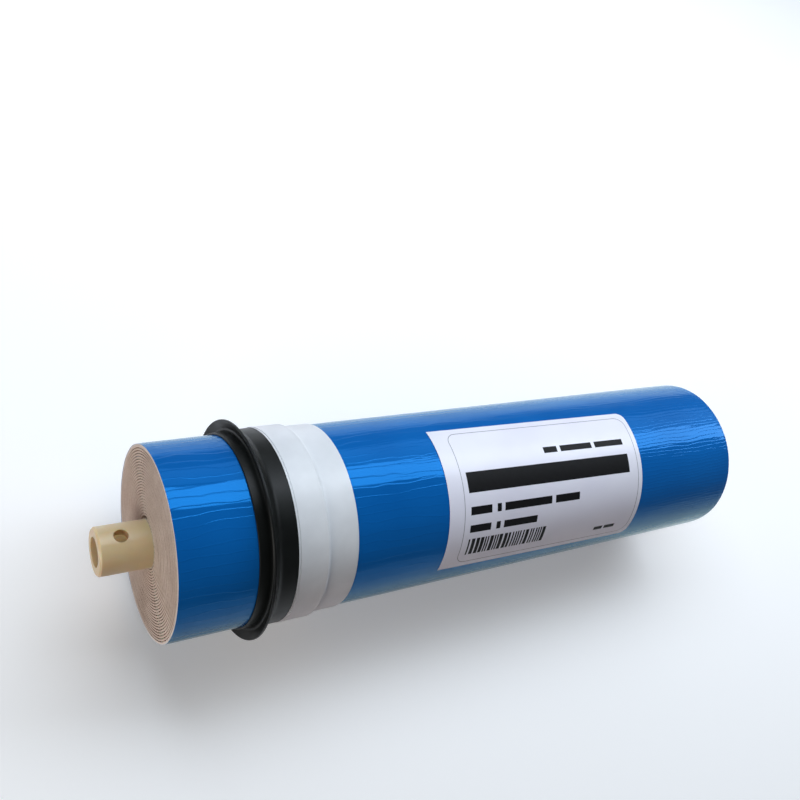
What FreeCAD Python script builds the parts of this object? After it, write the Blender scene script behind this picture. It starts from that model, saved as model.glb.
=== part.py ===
import FreeCAD, Part
import math
import os

# Spiral-wound reverse-osmosis membrane element for a household water plant.
#
# Frame: +X runs along the permeate tube, from the feed end (plain stub with a cross hole) to
# the product end (spigot with two O-rings). The origin is the centre of the roll's feed-end
# face and +Z is up. The element lies on its side, with the label on top and a little to -Y.

# ---- Driving sizes, millimetres and degrees -------------------------------------------------

# Permeate tube
overall_length = 298.0
feed_stub_length = 17.6
product_stub_length = 17.6
tube_od = 17.0
tube_waist_depth = 0.4
tube_bore = 10.5
tube_end_chamfer = 0.6

# Cross hole through the feed stub, square to the tube; elevations are turned up from -Y. The
# seam of the tube's surface keeps well clear of it.
cross_hole_d = 5.0
cross_hole_from_end = 7.7
cross_hole_elevation = 106.0
seam_before_cross_hole = 52.5

# Wall that shuts the bore off from the feed water
blind_wall_inset = 2.0
blind_wall_thickness = 3.0

# Rows of holes that let the permeate into the tube, inside the roll
drain_hole_d = 2.5
drain_hole_pitch = 60.0
drain_hole_end_gap = 25.0

# O-ring seals of the product spigot
o_ring_section = 2.0
groove_depth = 1.8
groove_width = 2.7
outer_groove_from_end = 3.9
groove_spacing = 5.3

# Start of the permeate carrier: three wraps on the tube, under the leaf
carrier_thickness = 0.75

# Membrane leaf, wound round the carrier with an open feed channel between its turns. The
# winding's heavier side faces down, as the element comes to rest.
element_od = 69.8
leaf_thickness = 0.8
wanted_turn_pitch = 1.25
leaf_tail_elevation = 139.0

# Tape wrapped round the whole roll
wrap_thickness = 0.4

# Brine seal: sleeve on the wrap, lip flared towards the feed end
seal_front = 26.9
seal_length = 25.2
seal_sleeve_thickness = 1.0
seal_front_edge_thickness = 0.5
lip_od = 80.1
lip_rim_from_front = 4.0
lip_root_from_front = 7.4
lip_root_thickness = 1.5
lip_rim_thickness = 0.8

# Tape that binds the tail of the seal to the wrap
tape_front = 40.8
tape_width = 23.4
tape_thickness = 0.25
tape_ramp = 1.5

# Label stuck on the wrap
label_front = 103.2
label_width = 101.6
label_height = 60.0
label_thickness = 0.12
label_centre_elevation = 69.3
label_corner_radius = 3.5
label_skew = 1.9

# ---- Worked out from the driving sizes ------------------------------------------------------

tube_r = tube_od / 2
waist_r = tube_r - tube_waist_depth
groove_floor_r = tube_r - groove_depth
bore_r = tube_bore / 2
carrier_r = waist_r + carrier_thickness
wrap_outer_r = element_od / 2
wrap_inner_r = wrap_outer_r - wrap_thickness
sleeve_r = wrap_outer_r + seal_sleeve_thickness
seal_tail = seal_front + seal_length
roll_length = overall_length - feed_stub_length - product_stub_length
tube_start = -feed_stub_length
tube_end = roll_length + product_stub_length

AXIS = FreeCAD.Vector(1, 0, 0)
ORIGIN = FreeCAD.Vector(0, 0, 0)


def turned(profile):
    """Solid of revolution about the tube's axis, from corners given as (x, radius)."""
    corners = [FreeCAD.Vector(x, r, 0) for x, r in profile]
    outline = Part.makePolygon(corners + corners[:1])
    return Part.Face(outline).revolve(ORIGIN, AXIS, 360)


def rod(x_start, x_end, radius):
    """Round bar on the tube's axis."""
    return Part.makeCylinder(radius, x_end - x_start, FreeCAD.Vector(x_start, 0, 0), AXIS)


def sleeve(outer_r, inner_r):
    """Tube over the whole length of the roll."""
    return rod(0, roll_length, outer_r).cut(rod(0, roll_length, inner_r))


def across(x, elevation, diameter):
    """Drill that crosses the tube through both walls, at its elevation."""
    turn = math.radians(elevation)
    direction = FreeCAD.Vector(0, -math.cos(turn), math.sin(turn))
    start = FreeCAD.Vector(x, 0, 0) - direction * tube_od
    return Part.makeCylinder(diameter / 2, 2 * tube_od, start, direction)


def permeate_tube():
    """Tube turned down to a waist under the roll, which its two shoulders hold in place."""
    tube = turned([
        (tube_start, 0),
        (tube_start, tube_r - tube_end_chamfer),
        (tube_start + tube_end_chamfer, tube_r),
        (0, tube_r),
        (0, waist_r),
        (roll_length, waist_r),
        (roll_length, tube_r),
        (tube_end - tube_end_chamfer, tube_r),
        (tube_end, tube_r - tube_end_chamfer),
        (tube_end, 0),
    ])
    tube.rotate(ORIGIN, AXIS, 180 - cross_hole_elevation - seam_before_cross_hole)
    wall_end = blind_wall_inset + blind_wall_thickness
    cuts = [rod(tube_start, blind_wall_inset, bore_r), rod(wall_end, tube_end, bore_r)]
    cuts.append(across(tube_start + cross_hole_from_end, cross_hole_elevation, cross_hole_d))

    first_drain = wall_end + drain_hole_end_gap
    drain_span = roll_length - drain_hole_end_gap - first_drain
    drain_gaps = max(1, int(drain_span // drain_hole_pitch))
    for number in range(drain_gaps + 1):
        x = first_drain + number * drain_span / drain_gaps
        cuts.append(across(x, 90 * (number % 2), drain_hole_d))

    for x in groove_centres():
        low, high = x - groove_width / 2, x + groove_width / 2
        cuts.append(rod(low, high, tube_od).cut(rod(low, high, groove_floor_r)))
    return tube.cut(cuts)


def groove_centres():
    """Places of the two O-ring grooves, the one nearer the roll first."""
    outer = tube_end - outer_groove_from_end
    return [outer - groove_spacing, outer]


def o_ring(x):
    """Rubber cord of eight-sided section, with one flat pressed on the groove's floor."""
    half = o_ring_section / 2
    centre_r = groove_floor_r + half
    corner_r = half / math.cos(math.pi / 8)
    turns = [math.pi * (2 * number + 1) / 8 for number in range(8)]
    return turned([(x + corner_r * math.cos(t), centre_r + corner_r * math.sin(t)) for t in turns])


def permeate_carrier():
    """Knitted carrier sheet where it is wrapped on the tube's waist, before the leaf starts."""
    return sleeve(carrier_r, waist_r)


def winding_room():
    """How far the leaf's inner face climbs between the carrier and its last half turn."""
    return wrap_inner_r - carrier_r - leaf_thickness


def half_turn_count():
    """Half turns of the leaf: an odd number, so that both its ends lie on round seats."""
    return 2 * max(1, round(winding_room() / wanted_turn_pitch)) + 1


def wound_line(start_radius, half_turns, step):
    """Spiral of half circles about two centres one step apart, tangent where they meet."""
    arcs = []
    for number in range(half_turns):
        radius = start_radius + number * step
        side = 1 if number % 2 == 0 else -1
        centre = FreeCAD.Vector(0, 0 if side > 0 else step, 0)
        across_y = FreeCAD.Vector(0, side * radius, 0)
        middle = FreeCAD.Vector(0, 0, side * radius)
        arcs.append(Part.Arc(centre + across_y, centre + middle, centre - across_y).toShape())
    return arcs


def membrane_leaf():
    """The folded leaf wound round the tube: one sheet, with the feed channel between turns."""
    half_turns = half_turn_count()
    step = winding_room() / (half_turns - 1)
    inner = wound_line(carrier_r, half_turns, step)
    outer = wound_line(carrier_r + leaf_thickness, half_turns, step)
    first_edge = Part.makeLine(inner[0].firstVertex().Point, outer[0].firstVertex().Point)
    last_edge = Part.makeLine(inner[-1].lastVertex().Point, outer[-1].lastVertex().Point)
    section = Part.Face(Part.Wire(inner + [last_edge] + outer[::-1] + [first_edge]))
    section.rotate(ORIGIN, AXIS, -leaf_tail_elevation)
    return section.extrude(AXIS * roll_length)


def outer_wrap():
    """Tape wound tight round the leaf, trimmed flush with both ends of the roll."""
    return sleeve(wrap_outer_r, wrap_inner_r)


def brine_seal():
    """Moulded rubber ring: front edge, mouth, flared lip and long sleeve."""
    rim = FreeCAD.Vector(seal_front + lip_rim_from_front, lip_od / 2, 0)
    root = FreeCAD.Vector(seal_front + lip_root_from_front, sleeve_r, 0)
    along = (rim - root).normalize()
    inwards = FreeCAD.Vector(-along.y, along.x, 0)
    rim_inner = rim + inwards * lip_rim_thickness
    root_inner = root + FreeCAD.Vector(-lip_root_thickness / abs(along.y), 0, 0)
    return turned([
        (seal_front, wrap_outer_r),
        (seal_front, wrap_outer_r + seal_front_edge_thickness),
        (root_inner.x, sleeve_r),
        (rim_inner.x, rim_inner.y),
        (rim.x, rim.y),
        (root.x, sleeve_r),
        (seal_tail, sleeve_r),
        (seal_tail, wrap_outer_r),
    ])


def seal_tape():
    """Tape over the seal's tail, stepping down to the wrap past the end of the rubber."""
    end = tape_front + tape_width
    step_foot = seal_tail + tape_ramp
    return turned([
        (tape_front, sleeve_r),
        (tape_front, sleeve_r + tape_thickness),
        (seal_tail + tape_thickness / 2, sleeve_r + tape_thickness),
        (step_foot, wrap_outer_r + tape_thickness),
        (end, wrap_outer_r + tape_thickness),
        (end, wrap_outer_r),
        (step_foot, wrap_outer_r),
        (seal_tail, sleeve_r),
    ])


def label():
    """Printed film: square corners at the feed end, rounded ones at the other."""
    film = Part.Cylinder()
    film.Axis = AXIS
    film.Radius = wrap_outer_r
    skew = math.radians(label_skew)
    middle_x = label_front + label_width / 2
    middle_turn = math.radians(180 - label_centre_elevation)

    def spot(along, up):
        """Surface coordinates of a place on the film, measured flat from its middle."""
        x = along * math.cos(skew) + up * math.sin(skew)
        rise = up * math.cos(skew) - along * math.sin(skew)
        return FreeCAD.Base.Vector2d(middle_turn - rise / wrap_outer_r, middle_x + x)

    def straight(start, end):
        return Part.Geom2d.Line2dSegment(spot(*start), spot(*end)).toShape(film)

    def corner(along, up, first_angle):
        """Quarter circle on the film, an ellipse in the surface's own coordinates."""
        centre = spot(along, up)
        major = FreeCAD.Base.Vector2d(centre.x, centre.y + label_corner_radius)
        minor = FreeCAD.Base.Vector2d(centre.x - label_corner_radius / wrap_outer_r, centre.y)
        ellipse = Part.Geom2d.Ellipse2d(major, minor, centre)
        start = math.radians(first_angle) - skew
        return Part.Geom2d.ArcOfEllipse2d(ellipse, start, start + math.pi / 2).toShape(film)

    right, top = label_width / 2, label_height / 2
    round_x, round_up = right - label_corner_radius, top - label_corner_radius
    outline = Part.Wire([
        straight((-right, -top), (round_x, -top)),
        corner(round_x, -round_up, -90),
        straight((right, -round_up), (right, round_up)),
        corner(round_x, round_up, 0),
        straight((round_x, top), (-right, top)),
        straight((-right, top), (-right, -top)),
    ])
    return Part.Face(film, outline).makeOffsetShape(label_thickness, 0.001, fill=True)


pieces = {
    "permeate_tube": permeate_tube(),
    "permeate_carrier": permeate_carrier(),
    "inner_o_ring": o_ring(groove_centres()[0]),
    "outer_o_ring": o_ring(groove_centres()[1]),
    "membrane_leaf": membrane_leaf(),
    "outer_wrap": outer_wrap(),
    "brine_seal": brine_seal(),
    "seal_tape": seal_tape(),
    "label": label(),
}
os.makedirs("parts", exist_ok=True)
for name, shape in pieces.items():
    shape.exportStep(f"parts/{name}.step")
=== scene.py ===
import bpy
import math
import random
from mathutils import Euler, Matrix, Quaternion, Vector, noise


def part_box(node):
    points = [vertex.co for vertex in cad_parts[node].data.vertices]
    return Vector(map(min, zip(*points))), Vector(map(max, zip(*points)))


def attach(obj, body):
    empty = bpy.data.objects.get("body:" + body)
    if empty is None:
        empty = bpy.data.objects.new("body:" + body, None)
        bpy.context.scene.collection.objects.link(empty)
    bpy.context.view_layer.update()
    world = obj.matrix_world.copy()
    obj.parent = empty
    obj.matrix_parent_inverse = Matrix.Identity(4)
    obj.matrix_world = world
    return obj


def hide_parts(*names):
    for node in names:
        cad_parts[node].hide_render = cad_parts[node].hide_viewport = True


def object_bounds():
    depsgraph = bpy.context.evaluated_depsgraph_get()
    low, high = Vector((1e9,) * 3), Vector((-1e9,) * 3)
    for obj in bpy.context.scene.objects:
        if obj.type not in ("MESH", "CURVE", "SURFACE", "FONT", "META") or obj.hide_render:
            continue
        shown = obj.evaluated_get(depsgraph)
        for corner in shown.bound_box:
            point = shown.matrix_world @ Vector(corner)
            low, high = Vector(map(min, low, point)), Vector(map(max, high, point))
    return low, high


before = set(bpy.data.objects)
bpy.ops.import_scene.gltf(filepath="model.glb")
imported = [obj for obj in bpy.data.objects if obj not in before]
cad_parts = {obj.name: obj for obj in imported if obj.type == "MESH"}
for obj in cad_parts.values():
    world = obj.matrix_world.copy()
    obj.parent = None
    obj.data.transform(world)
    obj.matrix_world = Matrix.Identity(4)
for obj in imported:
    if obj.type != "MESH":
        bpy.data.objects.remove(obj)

cad_bounds = [list(corner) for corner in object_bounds()]

# ---- Permeate tube ---------------------------------------------------------------------------
# The tube that the roll is wound on and that carries the product water away. Ivory ABS,
# moulded, with a cross hole for the puller's pin and an open bore in the stub at the feed end.

MM = 0.001
mould_grain = 0.35


def linear(code):
    """An sRGB hex colour as the linear RGBA that the shader wants."""
    parts = [int(code[start:start + 2], 16) / 255 for start in (1, 3, 5)]
    return [((c + 0.055) / 1.055) ** 2.4 if c > 0.04045 else c / 12.92 for c in parts] + [1]


def add(tree, kind, inputs, **settings):
    """A new node: settings are its own, and inputs are values or the sockets they come from."""
    made = tree.nodes.new("ShaderNode" + kind)
    for name, value in settings.items():
        setattr(made, name, value)
    for name, value in inputs.items():
        if isinstance(value, bpy.types.NodeSocket):
            tree.links.new(value, made.inputs[name])
        else:
            made.inputs[name].default_value = value
    return made


def finish(name, inputs):
    """A material with its one shader, and the tree that its pattern is added to."""
    made = bpy.data.materials.new(name)
    made.use_nodes = True
    shader = made.node_tree.nodes["Principled BSDF"]
    for socket, value in inputs.items():
        shader.inputs[socket].default_value = value
    return made, made.node_tree, shader


def dress(piece, material):
    """The piece shows that material all over."""
    piece.data.materials.clear()
    piece.data.materials.append(material)


# ABS as it leaves the mould: ivory, half glossy, a little light passing through its edges. The
# mould's grain is finer than mould_grain, and is drawn this coarse so that it shows.
abs_ivory, tree, shader = finish("abs_ivory", {
    "Roughness": 0.36, "IOR": 1.53, "Subsurface Weight": 0.5, "Subsurface Scale": 3 * MM,
    "Subsurface Radius": (1.0, 0.5, 0.2),
})
place = add(tree, "TexCoord", {}).outputs["Object"]
cloud = add(tree, "TexNoise", {"Vector": place, "Scale": 1 / (12 * MM), "Detail": 3})
tint = add(tree, "ValToRGB", {"Fac": cloud.outputs["Fac"]})
tint.color_ramp.elements[0].position = 0.3
tint.color_ramp.elements[0].color = linear("#DCC598")
tint.color_ramp.elements[1].position = 0.75
tint.color_ramp.elements[1].color = linear("#E4D1A9")
tree.links.new(tint.outputs["Color"], shader.inputs["Base Color"])
grain = add(tree, "TexNoise", {"Vector": place, "Scale": 1 / (mould_grain * MM), "Detail": 2})
relief = add(tree, "Bump", {"Height": grain.outputs["Fac"], "Strength": 0.12, "Distance": 0.02 * MM})
tree.links.new(relief.outputs["Normal"], shader.inputs["Normal"])
dress(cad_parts["permeate_tube"], abs_ivory)

# ---- Permeate carrier ------------------------------------------------------------------------
# Knitted polyester wrapped three times round the tube, under the leaf. Only its cut edge shows,
# as a thin pale ring round the stub.

# Dull yarn with glue between its stitches, which makes the cut edge speckled.
stitch_size = 0.5
carrier_knit, tree, shader = finish("polyester_tricot", {"Roughness": 0.9, "Sheen Weight": 0.2})
place = add(tree, "TexCoord", {}).outputs["Object"]
stitch = add(tree, "TexNoise", {"Vector": place, "Scale": 1 / (stitch_size * MM), "Detail": 2})
tint = add(tree, "ValToRGB", {"Fac": stitch.outputs["Fac"]})
tint.color_ramp.elements[0].position = 0.35
tint.color_ramp.elements[0].color = linear("#9C8B77")
tint.color_ramp.elements[1].position = 0.65
tint.color_ramp.elements[1].color = linear("#E3D9C8")
tree.links.new(tint.outputs["Color"], shader.inputs["Base Color"])
dress(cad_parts["permeate_carrier"], carrier_knit)

# ---- Membrane leaf ---------------------------------------------------------------------------
# Folded membrane sheets with carrier glued between them, wound round the tube in one spiral.
# The roll is trimmed after winding, so each end shows the leaf's cut edge as fine rings.

leaf_low, leaf_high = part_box("membrane_leaf")
roll_start, roll_end = leaf_low.x / MM, leaf_high.x / MM
wound_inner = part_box("permeate_carrier")[1].z / MM
wrap_thickness = 0.4
wound_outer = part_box("outer_wrap")[1].z / MM - wrap_thickness
leaf_thickness = 0.56
ring_pitch = 0.98
steps_per_turn = 128
trim_wander = 0.10
wander_around, wander_per_turn = 3, 1.7
trim_recess = 0.05
smallest_tail = 0.02
pale_margin = 1.6
wound_turns = (wound_outer - wound_inner - leaf_thickness) / ring_pitch
tail_turns = wound_turns + 1
winding_phase = math.radians(41)


def on_tube(x, radius, turn):
    """A point of the roll, from its place along the tube, its radius and its turn from +Y."""
    return Vector((x, radius * math.cos(turn), radius * math.sin(turn))) * MM


def from_corners(name, corners, faces):
    """A new piece on the root body, from its corners and faces."""
    mesh = bpy.data.meshes.new(name)
    mesh.from_pydata(corners, [], faces)
    mesh.validate()
    piece = bpy.data.objects.new(name, mesh)
    bpy.context.scene.collection.objects.link(piece)
    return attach(piece, "root")


def only(piece):
    """That piece alone is selected and active."""
    bpy.ops.object.select_all(action="DESELECT")
    piece.select_set(True)
    bpy.context.view_layer.objects.active = piece


def face_outwards(piece):
    """Every face of a closed piece is turned to point out of it."""
    only(piece)
    bpy.ops.object.mode_set(mode="EDIT")
    bpy.ops.mesh.select_all(action="SELECT")
    bpy.ops.mesh.normals_make_consistent(inside=False)
    bpy.ops.object.mode_set(mode="OBJECT")


def smooth(piece, degrees):
    """Smooth shading over every edge flatter than that."""
    only(piece)
    bpy.ops.object.shade_smooth_by_angle(angle=math.radians(degrees))


corners, faces = [], []
last_step = round(tail_turns * steps_per_turn)
for step in range(last_step + 1):
    travelled = step / steps_per_turn
    angle = 2 * math.pi * travelled + winding_phase
    outer = min(wound_inner + ring_pitch * travelled + leaf_thickness, wound_outer)
    inner = outer - leaf_thickness
    if travelled > wound_turns:
        # The glued tail thins out over the last turn, so that the roll ends up round.
        turn_below = wound_inner + ring_pitch * (travelled - 1) + leaf_thickness
        inner = min(outer - smallest_tail, max(inner, turn_below))
    wander = []
    for other_end in (0, 50):
        spot = Vector((math.cos(angle) * wander_around, math.sin(angle) * wander_around,
                       travelled * wander_per_turn + other_end))
        wander.append(trim_wander * noise.noise(spot))
    for radius in (inner, outer):
        corners += [on_tube(roll_start + trim_recess + wander[0], radius, angle),
                    on_tube(roll_end - trim_recess + wander[1], radius, angle)]
    if step:
        old, new = 4 * (step - 1), 4 * step
        for a, b in ((0, 1), (1, 3), (3, 2), (2, 0)):
            faces.append((old + a, old + b, new + b, new + a))
faces += [(0, 2, 3, 1), (4 * last_step, 4 * last_step + 1, 4 * last_step + 3, 4 * last_step + 2)]
leaf = from_corners("wound_leaf", corners, faces)
face_outwards(leaf)
smooth(leaf, 30)

# Polyester fleece and dried glue: matt, pinkish beige, uneven in tone along the winding. Its
# fibres are finer than fibre_clump, and are drawn this coarse so that they show.
fibre_clump = 0.6
leaf_edge, tree, shader = finish("glued_membrane_edge", {"Roughness": 0.75, "Sheen Weight": 0.1})
place = add(tree, "TexCoord", {}).outputs["Object"]
patch = add(tree, "TexNoise", {"Vector": place, "Scale": 1 / (9 * MM), "Detail": 4})
fibre = add(tree, "TexNoise", {"Vector": place, "Scale": 1 / (fibre_clump * MM), "Detail": 3})
blend = add(tree, "Mix", {"Factor": 0.5, "A": patch.outputs["Fac"], "B": fibre.outputs["Fac"]})
tint = add(tree, "ValToRGB", {"Fac": blend.outputs["Result"]})
tint.color_ramp.elements[0].position = 0.3
tint.color_ramp.elements[0].color = linear("#C3AF9F")
tint.color_ramp.elements[1].position = 0.7
tint.color_ramp.elements[1].color = linear("#E6D8CB")
# A Mix node of colours keeps its colour sockets behind those of its other kinds.
colour_a, colour_b, colour_out = 6, 7, 2
split = add(tree, "SeparateXYZ", {"Vector": place})
radial = add(tree, "CombineXYZ", {"Y": split.outputs["Y"], "Z": split.outputs["Z"]})
from_axis = add(tree, "VectorMath", {0: radial.outputs["Vector"]}, operation="LENGTH")
outermost = add(tree, "MapRange", {"Value": from_axis.outputs["Value"],
                                   "From Min": (wound_outer - pale_margin) * MM,
                                   "From Max": wound_outer * MM})
edge = add(tree, "Mix", {"Factor": outermost.outputs["Result"]}, data_type="RGBA")
tree.links.new(tint.outputs["Color"], edge.inputs[colour_a])
edge.inputs[colour_b].default_value = linear("#F3ECE5")
tree.links.new(edge.outputs[colour_out], shader.inputs["Base Color"])
relief = add(tree, "Bump", {"Height": fibre.outputs["Fac"], "Strength": 0.5, "Distance": 0.05 * MM})
tree.links.new(relief.outputs["Normal"], shader.inputs["Normal"])
dress(leaf, leaf_edge)

# ---- Feed spacer net -------------------------------------------------------------------------
# Extruded polypropylene net that keeps the turns of the leaf apart. Its strands cross on the
# slant in two layers, and their cut ends dot the channel at both ends of the roll.

channel = ring_pitch - leaf_thickness
strand_width = 0.36
strand_height = channel * 0.52
strand_spacing = 2.6
strand_depth = 4.0
strand_slant = 1.0
strand_clearance = 0.01
shortest_cut, cut_spread = 0.25, 0.35
place_spread = 0.3

corners, faces = [], []
draw = random.Random(7)


def strand(x_end, inwards, radius, angle, lean):
    """One cut length of strand, lying in the channel from the end face inwards."""
    first = len(corners)
    half = strand_width / 2
    for depth in (0, strand_depth / 2, strand_depth):
        middle = angle + lean * depth * strand_slant / radius
        for rise in (0, strand_height):
            for side in (-half, half):
                corners.append(on_tube(x_end + inwards * depth, radius + rise, middle + side / radius))
    for ring in (first, first + 4):
        for a, b in ((0, 1), (1, 3), (3, 2), (2, 0)):
            faces.append((ring + a, ring + b, ring + 4 + b, ring + 4 + a))
    faces.append((first, first + 2, first + 3, first + 1))
    faces.append((first + 8, first + 9, first + 11, first + 10))


for layer, lean in ((0, 1), (1, -1)):
    travelled = 0.0
    while travelled < wound_turns - 1:
        radius = wound_inner + leaf_thickness + ring_pitch * travelled
        angle = 2 * math.pi * travelled + winding_phase
        rise = strand_clearance + layer * (channel - strand_height - 2 * strand_clearance)
        for x_end, inwards in ((roll_start, 1), (roll_end, -1)):
            cut = shortest_cut + cut_spread * draw.random()
            shifted = angle + place_spread * draw.random() / radius
            strand(x_end + inwards * cut, inwards, radius + rise, shifted, lean)
        travelled += strand_spacing / (2 * math.pi * radius)
spacer = from_corners("feed_spacer_net", corners, faces)
face_outwards(spacer)

# Natural polypropylene: milky, waxy, slightly see-through.
spacer_net, tree, shader = finish("natural_polypropylene", {
    "Roughness": 0.45, "IOR": 1.49, "Subsurface Weight": 0.3, "Subsurface Scale": 0.5 * MM,
})
place = add(tree, "TexCoord", {}).outputs["Object"]
cloud = add(tree, "TexNoise", {"Vector": place, "Scale": 1 / (3 * MM), "Detail": 2})
tint = add(tree, "ValToRGB", {"Fac": cloud.outputs["Fac"]})
tint.color_ramp.elements[0].color = linear("#CDBFAE")
tint.color_ramp.elements[1].color = linear("#EDE4D8")
tree.links.new(tint.outputs["Color"], shader.inputs["Base Color"])
dress(spacer, spacer_net)
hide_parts("membrane_leaf")

# ---- Outer wrap ------------------------------------------------------------------------------
# Wide glossy tape wound tight round the leaf and trimmed flush with the roll. It follows every
# small ridge of the winding, so its shine breaks into streaks along the roll.

wrap_radius = wound_outer + wrap_thickness
wrap_step = 0.07
wrap_tail_turn = math.radians(-12)
wrap_columns = 130
wrap_rows = 350
wrap_margin = 0.07
film_thickness = 0.25
map_unit = 100
rim_dip = 0.15
rim_dip_length = 0.9
broad_ridge, broad_width, broad_length = 0.065, 6.5, 34.0
fine_ridge, fine_width, fine_length = 0.020, 2.2, 15.0
fine_start = 9

corners, faces, places = [], [], []
for column in range(wrap_columns + 1):
    x = roll_start + (roll_end - roll_start) * column / wrap_columns
    from_rim = min(x - roll_start, roll_end - x)
    for row in range(wrap_rows + 1):
        share = row / wrap_rows
        angle = wrap_tail_turn + 2 * math.pi * share
        ring = Vector((math.cos(angle), math.sin(angle), 0)) * wrap_radius
        broad = noise.noise(Vector((ring.x / broad_width, ring.y / broad_width, x / broad_length)))
        fine = noise.noise(Vector((ring.x / fine_width, ring.y / fine_width,
                                   fine_start + x / fine_length)))
        dip = rim_dip * math.exp(-from_rim / rim_dip_length)
        lower = wrap_margin + wrap_step * (1 - share) + dip
        lift = min(0.0, -lower + broad_ridge * broad + fine_ridge * fine)
        corners.append(on_tube(x, wrap_radius + lift, angle))
        places.append((x / map_unit, wrap_radius * angle / map_unit))
for column in range(wrap_columns):
    for row in range(wrap_rows):
        near = column * (wrap_rows + 1) + row
        far = near + wrap_rows + 1
        faces.append((near, near + 1, far + 1, far))
wrap = from_corners("blue_wrap", corners, faces)
film_map = wrap.data.uv_layers.new(name="along_and_around")
for loop in wrap.data.loops:
    film_map.data[loop.index].uv = places[loop.vertex_index]
only(wrap)
shell = wrap.modifiers.new("thickness", "SOLIDIFY")
shell.thickness = film_thickness * MM
shell.offset = -1
bpy.ops.object.modifier_apply(modifier=shell.name)
smooth(wrap, 30)

# Clear blue film over a pale roll: a hard mirror-like skin, and part of its shine comes back
# blue from the underside of the film, which the small metallic share stands for. Long creases
# run along the roll, a few millimetres apart near the seal and closer towards the product end.
blue_film, tree, shader = finish("glossy_blue_film", {
    "Metallic": 0.16, "Roughness": 0.06, "IOR": 1.25, "Specular Tint": linear("#76FFDA"),
})
place = add(tree, "TexCoord", {})
cloud = add(tree, "TexNoise", {"Vector": place.outputs["Object"], "Scale": 1 / (30 * MM), "Detail": 2})
tint = add(tree, "ValToRGB", {"Fac": cloud.outputs["Fac"]})
tint.color_ramp.elements[0].position = 0.3
tint.color_ramp.elements[0].color = linear("#0A61B0")
tint.color_ramp.elements[1].position = 0.7
tint.color_ramp.elements[1].color = linear("#0D68B9")
tree.links.new(tint.outputs["Color"], shader.inputs["Base Color"])
creases_open, creases_close = 60, 190
change_sway = 90
heights = []
for spacing, wander_length, sharpness, height in ((3.4, 16, 36, 0.040), (1.5, 9, 5, 0.032)):
    # The node draws 20 radians of its wave to each unit of its scale.
    waves = 2 * math.pi * map_unit / 20 / spacing
    flat = add(tree, "Mapping", {"Vector": place.outputs["UV"],
                                 "Scale": (2 * spacing / wander_length, 1, 1)})
    wave = add(tree, "TexWave", {"Vector": flat.outputs["Vector"], "Scale": waves, "Distortion": 9,
                                 "Detail": 3, "Detail Scale": 0.5, "Detail Roughness": 0.6},
               bands_direction="Y")
    crest = add(tree, "Math", {0: wave.outputs["Fac"], 1: sharpness}, operation="POWER")
    heights.append(add(tree, "Math", {0: crest.outputs["Value"], 1: height}, operation="MULTIPLY"))
split = add(tree, "SeparateXYZ", {"Vector": place.outputs["Object"]})
sway = add(tree, "TexNoise", {"Vector": place.outputs["Object"], "Scale": 1 / (25 * MM), "Detail": 1})
sway = add(tree, "MapRange", {"Value": sway.outputs["Fac"], "To Min": -change_sway * MM,
                               "To Max": change_sway * MM})
along_roll = add(tree, "Math", {0: split.outputs["X"], 1: sway.outputs["Result"]}, operation="ADD")
towards_end = add(tree, "MapRange", {"Value": along_roll.outputs["Value"],
                                     "From Min": creases_open * MM,
                                     "From Max": creases_close * MM})
mixed = add(tree, "Mix", {"Factor": towards_end.outputs["Result"], "A": heights[0].outputs["Value"],
                          "B": heights[1].outputs["Value"]})
relief = add(tree, "Bump", {"Height": mixed.outputs["Result"], "Strength": 1, "Distance": MM})
tree.links.new(relief.outputs["Normal"], shader.inputs["Normal"])
dress(wrap, blue_film)

# The blade leaves the film's cut edge pale and matt, and the last of its skin with it.
film_edge, tree, shader = finish("cut_film_edge", {"Roughness": 0.6})
place = add(tree, "TexCoord", {}).outputs["Object"]
cloud = add(tree, "TexNoise", {"Vector": place, "Scale": 1 / (2 * MM), "Detail": 2})
tint = add(tree, "ValToRGB", {"Fac": cloud.outputs["Fac"]})
tint.color_ramp.elements[0].color = linear("#B9C3CE")
tint.color_ramp.elements[1].color = linear("#DDE3E8")
tree.links.new(tint.outputs["Color"], shader.inputs["Base Color"])
wrap.data.materials.append(film_edge)
edge_reach = 0.25
for face in wrap.data.polygons:
    x = face.center.x / MM
    if abs(face.normal.x) > 0.7 or min(x - roll_start, roll_end - x) < edge_reach:
        face.material_index = 1
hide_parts("outer_wrap")

# ---- Brine seal ------------------------------------------------------------------------------
# Moulded rubber ring that stops the feed water from passing outside the roll. Its lip flares
# towards the feed end, and a long sleeve behind it is bound down by the white tape.

seal_low, seal_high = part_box("brine_seal")
seal_front, seal_tail = seal_low.x / MM, seal_high.x / MM
lip_radius = seal_high.z / MM
sleeve_wall = 1.0
sleeve_radius = wrap_radius + sleeve_wall
toe_height = 0.55
lip_rim = 4.0
turned_steps = 192


def turned(name, profile, steps):
    """A ring spun about the tube from its closed outline, given as (x, radius)."""
    mesh = bpy.data.meshes.new(name)
    count = len(profile)
    mesh.from_pydata([(x * MM, 0, radius * MM) for x, radius in profile],
                     [(number, (number + 1) % count) for number in range(count)], [])
    piece = bpy.data.objects.new(name, mesh)
    bpy.context.scene.collection.objects.link(piece)
    only(piece)
    bpy.ops.object.mode_set(mode="EDIT")
    bpy.ops.mesh.select_all(action="SELECT")
    bpy.ops.mesh.spin(steps=steps, angle=2 * math.pi, center=(0, 0, 0), axis=(1, 0, 0))
    bpy.ops.mesh.select_all(action="SELECT")
    bpy.ops.mesh.remove_doubles(threshold=0.002 * MM)
    bpy.ops.mesh.normals_make_consistent(inside=False)
    bpy.ops.object.mode_set(mode="OBJECT")
    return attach(piece, "root")


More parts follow.
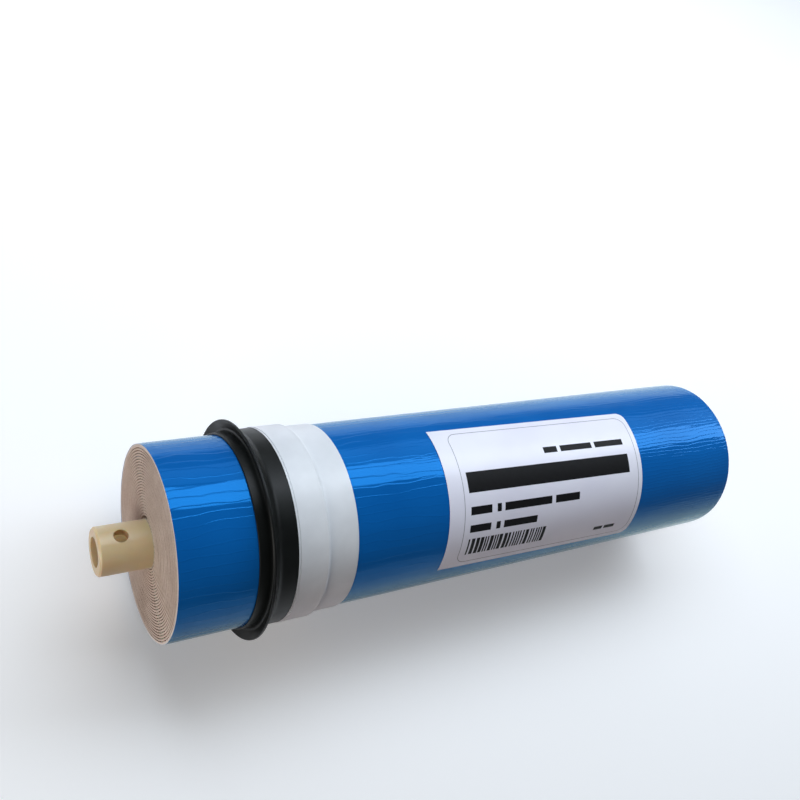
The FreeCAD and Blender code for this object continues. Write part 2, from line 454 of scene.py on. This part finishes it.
def bend(start, corner, end, steps):
    """Points of a smooth bend from start to end, pulled towards the corner."""
    found = []
    for number in range(steps + 1):
        t = number / steps
        found.append(tuple((1 - t) ** 2 * s + 2 * t * (1 - t) * c + t * t * e
                           for s, c, e in zip(start, corner, end)))
    return found


# The outline runs over the toe and up the lip's hollow front, round its rim, and down its back
# to the sleeve.
front_top = wrap_radius + toe_height
rim_x = seal_front + lip_rim
profile = [(seal_front, wrap_radius)]
profile += bend((seal_front, front_top - 0.25), (seal_front, front_top),
                (seal_front + 0.3, front_top), 4)
profile += bend((rim_x - 0.6, front_top + 0.2), (rim_x + 1.6, front_top + 0.25),
                (rim_x + 0.4, front_top + 1.9), 8)
profile += [(rim_x - 0.45, lip_radius - 0.75)]
profile += bend((rim_x - 0.72, lip_radius - 0.35), (rim_x - 0.75, lip_radius - 0.02),
                (rim_x - 0.2, lip_radius), 5)
profile += bend((rim_x, lip_radius - 0.02), (rim_x + 0.1, lip_radius - 0.1),
                (rim_x + 0.35, lip_radius - 0.5), 3)
profile += bend((rim_x + 1.9, sleeve_radius + 1.6), (rim_x + 3.1, sleeve_radius),
                (rim_x + 4.6, sleeve_radius), 10)
profile += bend((seal_tail - 0.4, sleeve_radius), (seal_tail, sleeve_radius),
                (seal_tail, sleeve_radius - 0.4), 4)
profile += [(seal_tail, wrap_radius)]
seal = turned("rubber_lip_seal", profile, turned_steps)
smooth(seal, 35)

# Black EPDM from a polished mould: dark and even, with a broad soft shine. The grain of its skin
# is finer than rubber_grain, and is drawn this coarse so that it shows.
rubber_grain = 0.5
black_rubber, tree, shader = finish("moulded_epdm_rubber", {
    "Roughness": 0.3, "IOR": 1.52, "Specular IOR Level": 0.18,
})
place = add(tree, "TexCoord", {}).outputs["Object"]
bloom = add(tree, "TexNoise", {"Vector": place, "Scale": 1 / (7 * MM), "Detail": 4})
tint = add(tree, "ValToRGB", {"Fac": bloom.outputs["Fac"]})
tint.color_ramp.elements[0].position = 0.35
tint.color_ramp.elements[0].color = linear("#080A09")
tint.color_ramp.elements[1].position = 0.8
tint.color_ramp.elements[1].color = linear("#101311")
tree.links.new(tint.outputs["Color"], shader.inputs["Base Color"])
polish = add(tree, "MapRange", {"Value": bloom.outputs["Fac"], "To Min": 0.28, "To Max": 0.5})
tree.links.new(polish.outputs["Result"], shader.inputs["Roughness"])
grain = add(tree, "TexNoise", {"Vector": place, "Scale": 1 / (rubber_grain * MM), "Detail": 2})
relief = add(tree, "Bump", {"Height": grain.outputs["Fac"], "Strength": 0.15, "Distance": 0.02 * MM})
tree.links.new(relief.outputs["Normal"], shader.inputs["Normal"])
dress(seal, black_rubber)
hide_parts("brine_seal")

# ---- Seal tape -------------------------------------------------------------------------------
# White film tape wound twice over the seal's tail. It steps down where the rubber ends, and the
# two turns don't quite line up, which leaves a double edge at the front.

tape_low, tape_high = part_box("seal_tape")
tape_front, tape_end = tape_low.x / MM, tape_high.x / MM
one_turn = 0.12
turn_offset = 0.5
edge_gap = 0.3
edge_slope = 0.02
bulge = 0.09
end_offset = 0.35
step_length = 1.4

sleeve_top = sleeve_radius + 2 * one_turn
wrap_top = wrap_radius + 2 * one_turn
profile = [(tape_front, sleeve_radius), (tape_front, sleeve_radius + one_turn)]
# Between the two front edges a narrow gap shows the rubber's level.
profile += [(tape_front + turn_offset - edge_slope, sleeve_radius + one_turn),
            (tape_front + turn_offset, sleeve_radius + edge_slope),
            (tape_front + turn_offset + edge_gap - edge_slope, sleeve_radius + edge_slope),
            (tape_front + turn_offset + edge_gap, sleeve_top)]
# The tape rises a little over the rubber's tail and then drops to the film.
halfway = (sleeve_top + wrap_top) / 2
profile += bend((seal_tail - 1.4, sleeve_top), (seal_tail - 0.7, sleeve_top),
                (seal_tail - 0.5, sleeve_top + bulge), 3)
profile += bend((seal_tail - 0.2, sleeve_top + bulge), (seal_tail + 0.2, sleeve_top + bulge),
                (seal_tail + 0.45, halfway), 5)
profile += bend((seal_tail + 0.55, halfway - 0.2), (seal_tail + 0.8, wrap_top),
                (seal_tail + step_length + 0.6, wrap_top), 5)
profile += [(tape_end - end_offset, wrap_top), (tape_end - end_offset, wrap_top - one_turn)]
profile += [(tape_end, wrap_top - one_turn), (tape_end, wrap_radius)]
profile += [(seal_tail + step_length, wrap_radius), (seal_tail + 0.02, sleeve_radius - 0.3),
            (seal_tail + 0.01, sleeve_radius)]
tape = turned("white_seal_tape", profile, turned_steps)
smooth(tape, 35)

# Stretched polymer film tape: plain white, half glossy, rippled where it was pulled tight.
white_tape, tree, shader = finish("white_film_tape", {"Roughness": 0.34, "IOR": 1.48})
place = add(tree, "TexCoord", {}).outputs["Object"]
cloud = add(tree, "TexNoise", {"Vector": place, "Scale": 1 / (10 * MM), "Detail": 3})
tint = add(tree, "ValToRGB", {"Fac": cloud.outputs["Fac"]})
tint.color_ramp.elements[0].position = 0.3
tint.color_ramp.elements[0].color = linear("#DDDFE1")
tint.color_ramp.elements[1].position = 0.7
tint.color_ramp.elements[1].color = linear("#E6E8EA")
tree.links.new(tint.outputs["Color"], shader.inputs["Base Color"])
stretch = add(tree, "Mapping", {"Vector": place,
                                "Scale": (1 / (2.5 * MM), 1 / (9 * MM), 1 / (9 * MM))})
ripple = add(tree, "TexNoise", {"Vector": stretch.outputs["Vector"], "Scale": 1, "Detail": 2})
relief = add(tree, "Bump", {"Height": ripple.outputs["Fac"], "Strength": 0.3, "Distance": 0.03 * MM})
tree.links.new(relief.outputs["Normal"], shader.inputs["Normal"])
dress(tape, white_tape)
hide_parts("seal_tape")

# ---- O-rings ---------------------------------------------------------------------------------
# Two rubber rings that seal the product spigot in its socket. Moulded, round in section, pressed
# flat on the floor of their grooves, with the thin parting line of the mould round the outside.

ring_section = 2.0
pressed_flat = 0.06
parting_line = 0.03
equator_depth = 0.01
ring_steps, section_steps = 120, 28
for node, name in (("inner_o_ring", "inner_seal_ring"), ("outer_o_ring", "outer_seal_ring")):
    low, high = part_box(node)
    bpy.ops.object.select_all(action="DESELECT")
    bpy.ops.mesh.primitive_torus_add(
        major_segments=ring_steps, minor_segments=section_steps,
        major_radius=high.z - ring_section / 2 * MM,
        minor_radius=ring_section / 2 * MM, location=((low.x + high.x) / 2, 0, 0),
        rotation=(0, math.pi / 2, 0))
    ring = bpy.context.object
    ring.name = name
    bpy.ops.object.transform_apply(location=True, rotation=True, scale=True)
    groove_floor = high.z - ring_section * MM
    for vertex in ring.data.vertices:
        radius = math.hypot(vertex.co.y, vertex.co.z)
        wanted = max(radius, groove_floor + pressed_flat * MM)
        if radius > high.z - equator_depth * MM:
            wanted = radius + parting_line * MM
        vertex.co.y *= wanted / radius
        vertex.co.z *= wanted / radius
    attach(ring, "root")
    smooth(ring, 60)
    dress(ring, black_rubber)
    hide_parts(node)

# ---- Label -----------------------------------------------------------------------------------
# Printed film stuck on the wrap, its corners square towards the seal and rounded towards the
# product end. It sits a little askew, as it was laid on by hand.

label_width = 101.6
label_height = 60.0
label_thickness = 0.12
label_corner = 3.5
label_skew = math.radians(1.9)
label_start = 103.2
label_middle_x = label_start + label_width / 2
label_middle_turn = math.radians(180 - 69.3)
bend_step = 1.2
film_cuts, corner_cuts = 60, 12


def on_label(along, up, above):
    """A point of the label, from its flat place and its height above the film."""
    x = along * math.cos(label_skew) + up * math.sin(label_skew)
    rise = up * math.cos(label_skew) - along * math.sin(label_skew)
    return on_tube(label_middle_x + x, wrap_radius + above, label_middle_turn - rise / wrap_radius)


def laid_on(name, strips, bottom, top):
    """Closed thin patches on the label: each strip is a list of (along, low, high) cuts."""
    corners, faces = [], []
    for strip in strips:
        tallest = max(high - low for _, low, high in strip)
        rows = max(1, round(tallest / bend_step))
        first = len(corners)
        across = rows + 1
        for above in (bottom, top):
            for along, low, high in strip:
                corners += [on_label(along, low + (high - low) * row / rows, above)
                            for row in range(across)]
        layer = len(strip) * across
        for cut in range(len(strip) - 1):
            for row in range(rows):
                a = first + cut * across + row
                b = a + across
                faces.append((a, a + 1, b + 1, b))
                faces.append((a + layer, b + layer, b + layer + 1, a + layer + 1))
        rim = [first + row for row in range(across)]
        rim += [first + cut * across + rows for cut in range(1, len(strip))]
        rim += [first + (len(strip) - 1) * across + row for row in range(rows - 1, -1, -1)]
        rim += [first + cut * across for cut in range(len(strip) - 2, 0, -1)]
        for number, a in enumerate(rim):
            b = rim[(number + 1) % len(rim)]
            faces.append((a, b, b + layer, a + layer))
    piece = from_corners(name, corners, faces)
    face_outwards(piece)
    smooth(piece, 30)
    return piece


right, upper = label_width / 2, label_height / 2
cuts = [-right + (label_width - label_corner) * number / film_cuts for number in range(film_cuts + 1)]
film_strip = [(along, -upper, upper) for along in cuts]
for number in range(1, corner_cuts + 1):
    turn = math.pi / 2 * number / corner_cuts
    reach = upper - label_corner + label_corner * math.cos(turn)
    film_strip.append((right - label_corner + label_corner * math.sin(turn), -reach, reach))
label = laid_on("label_film", [film_strip], 0.0, label_thickness)

# Coated film: cool white, smooth, with the faint ripple of the tape below showing through.
label_film, tree, shader = finish("coated_label_film", {"Roughness": 0.3, "IOR": 1.5})
place = add(tree, "TexCoord", {}).outputs["Object"]
cloud = add(tree, "TexNoise", {"Vector": place, "Scale": 1 / (25 * MM), "Detail": 2})
tint = add(tree, "ValToRGB", {"Fac": cloud.outputs["Fac"]})
tint.color_ramp.elements[0].position = 0.3
tint.color_ramp.elements[0].color = linear("#E8E6F2")
tint.color_ramp.elements[1].position = 0.7
tint.color_ramp.elements[1].color = linear("#EFEEF7")
tree.links.new(tint.outputs["Color"], shader.inputs["Base Color"])
ripple = add(tree, "TexNoise", {"Vector": place, "Scale": 1 / (4 * MM), "Detail": 3})
relief = add(tree, "Bump", {"Height": ripple.outputs["Fac"], "Strength": 0.25, "Distance": 0.02 * MM})
tree.links.new(relief.outputs["Normal"], shader.inputs["Normal"])
dress(label, label_film)
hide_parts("label")

# ---- Label print -----------------------------------------------------------------------------
# Screen-printed ink on the film: a thin grey frame line with rounded corners, a black banner,
# rows of plain dashes and a block of upright bars. It says nothing.

ink_bottom, ink_top = label_thickness - 0.01, label_thickness + 0.015
ink_cut = 4


def box_strip(left, right_edge, low, high, slices=None):
    """A plain rectangle of ink, cut along its length so that it follows the film."""
    count = slices or max(1, round((right_edge - left) / ink_cut))
    return [(left + (right_edge - left) * number / count, low, high)
            for number in range(count + 1)]


# The banner, then each row of dashes by its lower and upper edge, and where each dash of it
# starts and how long it is.
black = [box_strip(-41.5, 43.4, 2.1, 10.05)]
for low, high, dashes in (
        (14.2, 16.8, ((-1.0, 7.0), (7.8, 17.0), (26.6, 16.0))),
        (-6.4, -3.2, ((-41.0, 10.0), (-28.4, 2.0), (-24.6, 24.0), (1.4, 13.0))),
        (-13.4, -10.4, ((-41.0, 10.0), (-28.4, 2.0), (-24.6, 17.0))),
        (-23.4, -21.6, ((27.6, 5.0), (33.6, 6.2)))):
    for left, length in dashes:
        black.append(box_strip(left, left + length, low, high))
bars = random.Random(21)
along, bars_end = -40.8, -2.2
bars_low, bars_high = -23.5, -16.2
while along < bars_end:
    width = bars.choice((0.7, 0.7, 1.1, 1.6))
    black.append(box_strip(along, along + width, bars_low, bars_high, 1))
    along += width + bars.choice((0.5, 0.5, 0.7, 0.9))
print_black = laid_on("label_print", black, ink_bottom, ink_top)

# Dried screen ink: a flat black with hardly any shine, slightly uneven in cover.
screen_ink, tree, shader = finish("black_screen_ink", {"Roughness": 0.5, "Specular IOR Level": 0.15})
place = add(tree, "TexCoord", {}).outputs["Object"]
cloud = add(tree, "TexNoise", {"Vector": place, "Scale": 1 / (2 * MM), "Detail": 3})
tint = add(tree, "ValToRGB", {"Fac": cloud.outputs["Fac"]})
tint.color_ramp.elements[0].color = linear("#080809")
tint.color_ramp.elements[1].color = linear("#131315")
tree.links.new(tint.outputs["Color"], shader.inputs["Base Color"])
dress(print_black, screen_ink)

# The frame line is drawn with a finer screen, so it is greyer than the rest.
frame_left, frame_right, frame_low, frame_high = -44.0, 48.6, -27.6, 27.4
frame_corner, frame_line = 4.5, 0.26
frame_tip = 0.02
corner_steps, run_steps = 10, 24
inner_left, inner_right = frame_left + frame_line, frame_right - frame_line


def frame_reach(along, inset):
    """How far the frame's outline runs up and down at that place along it."""
    corner = frame_corner - inset
    from_end = min(along - frame_left, frame_right - along) - inset
    cut = 0
    if from_end < corner:
        cut = corner - math.sqrt(max(0, corner ** 2 - (corner - from_end) ** 2))
    return frame_low + inset + cut, frame_high - inset - cut


grey = [[(along, *frame_reach(along, 0)) for along in pair]
        for pair in ((frame_left + frame_tip, inner_left), (inner_right, frame_right - frame_tip))]
steps = [inner_left + (frame_corner - frame_line) * (1 - math.cos(math.pi / 2 * n / corner_steps))
         for n in range(corner_steps + 1)]
steps += [frame_left + frame_corner + (frame_right - frame_left - 2 * frame_corner) * n / run_steps
          for n in range(1, run_steps)]
steps += [frame_left + frame_right - along for along in reversed(steps[:corner_steps + 1])]
for side in (0, 1):
    line = []
    for along in steps:
        outline = frame_reach(along, 0)[side]
        inside = frame_reach(min(max(along, inner_left), inner_right), frame_line)[side]
        line.append((along, min(outline, inside), max(outline, inside)))
    grey.append(line)
print_grey = laid_on("label_frame_line", grey, ink_bottom, ink_top)
grey_ink, tree, shader = finish("grey_screen_ink", {"Roughness": 0.5})
place = add(tree, "TexCoord", {}).outputs["Object"]
cloud = add(tree, "TexNoise", {"Vector": place, "Scale": 1 / (3 * MM), "Detail": 3})
tint = add(tree, "ValToRGB", {"Fac": cloud.outputs["Fac"]})
tint.color_ramp.elements[0].color = linear("#77757C")
tint.color_ramp.elements[1].color = linear("#98969C")
tree.links.new(tint.outputs["Color"], shader.inputs["Base Color"])
dress(print_grey, grey_ink)

# ---- Table, lamps and camera -----------------------------------------------------------------
# A plain pale table, two long soft lamps above and behind that light like a window and its
# sill, a weak one at the feed end, and the camera looking down along the roll.

table_height = cad_bounds[0][2]
table_size, table_x = 6, 0.13


def seen_or_mirrored(tree):
    """1 for rays from the camera, gloss or glass, and 0 for those that bring light to the roll."""
    path = add(tree, "LightPath", {})
    seen = add(tree, "Math", {0: path.outputs["Is Camera Ray"], 1: path.outputs["Is Glossy Ray"]},
               operation="ADD")
    seen = add(tree, "Math", {0: seen.outputs["Value"], 1: path.outputs["Is Transmission Ray"]},
               operation="ADD", use_clamp=True)
    return seen.outputs["Value"]


bpy.ops.object.select_all(action="DESELECT")
bpy.ops.mesh.primitive_plane_add(size=table_size, location=(table_x, 0, table_height))
table = bpy.context.object
table.name = "table"
# The table looks near white, and the light that it throws up at the roll is dimmer and pinkish.
pale, tree, shader = finish("pale_table", {"Roughness": 0.8})
seen = seen_or_mirrored(tree)
tone = add(tree, "Mix", {"Factor": seen}, data_type="RGBA")
tone.inputs[colour_a].default_value = linear("#8A5A60")
tone.inputs[colour_b].default_value = linear("#F1F1F1")
tree.links.new(tone.outputs[colour_out], shader.inputs["Base Color"])
# The table glows a little, but only where it is seen or mirrored, so it doesn't light the roll.
backdrop_share = 0.22
glow = add(tree, "Math", {0: seen, 1: backdrop_share}, operation="MULTIPLY")
shader.inputs["Emission Color"].default_value = (1, 1, 1, 1)
tree.links.new(glow.outputs["Value"], shader.inputs["Emission Strength"])
dress(table, pale)


def lamp(name, where, aim, size, strength, colour, turn=0):
    """A rectangular soft lamp that faces its aim, turned in its own plane by so many degrees."""
    data = bpy.data.lights.new(name, "AREA")
    data.shape = "RECTANGLE"
    data.size, data.size_y = size
    data.energy = strength
    data.color = linear(colour)[:3]
    made = bpy.data.objects.new(name, data)
    made.location = where
    facing = (Vector(aim) - Vector(where)).to_track_quat("-Z", "Y")
    made.rotation_euler = (facing @ Quaternion((0, 0, 1), math.radians(turn))).to_euler()
    bpy.context.scene.collection.objects.link(made)


lamp_x, lamp_length, lamp_distance = 0.5, 1.5, 0.6
lamp_skew = -13
for name, elevation, height, strength in (("window", 113, 0.27, 6.3),
                                          ("window_sill", 141, 0.28, 1.3)):
    across = -lamp_distance * math.cos(math.radians(elevation))
    up = lamp_distance * math.sin(math.radians(elevation))
    lamp(name, (lamp_x, across, up), (lamp_x, 0, 0), (lamp_length, height), strength, "#EAF4FF",
         lamp_skew)
lamp("feed_end_fill", (-0.7, -0.25, 0.12), (0, 0, 0), (0.5, 0.5), 3.6, "#FFFAF2")

# The sky lights the roll weakly and looks brighter where it is seen or mirrored.
sky_light, sky_seen = 0.08, 0.3
world = bpy.data.worlds.new("studio")
bpy.context.scene.world = world
world.use_nodes = True
sky = world.node_tree.nodes["Background"]
sky.inputs["Color"].default_value = linear("#D8DCE2")
tree = world.node_tree
shown = add(tree, "MapRange", {"Value": seen_or_mirrored(tree), "To Min": sky_light, "To Max": sky_seen})
tree.links.new(shown.outputs["Result"], sky.inputs["Strength"])

camera_data = bpy.data.cameras.new("camera")
camera_data.sensor_width = 36
camera_data.lens = 38.94
camera_data.clip_start = 0.01
camera = bpy.data.objects.new("camera", camera_data)
camera.location = (-0.0769, -0.0635, 0.2986)
camera.rotation_euler = Euler([math.radians(angle) for angle in (25.46, -27.02, -17.47)])
bpy.context.scene.collection.objects.link(camera)
bpy.context.scene.camera = camera
bpy.context.scene.view_settings.view_transform = "Standard"
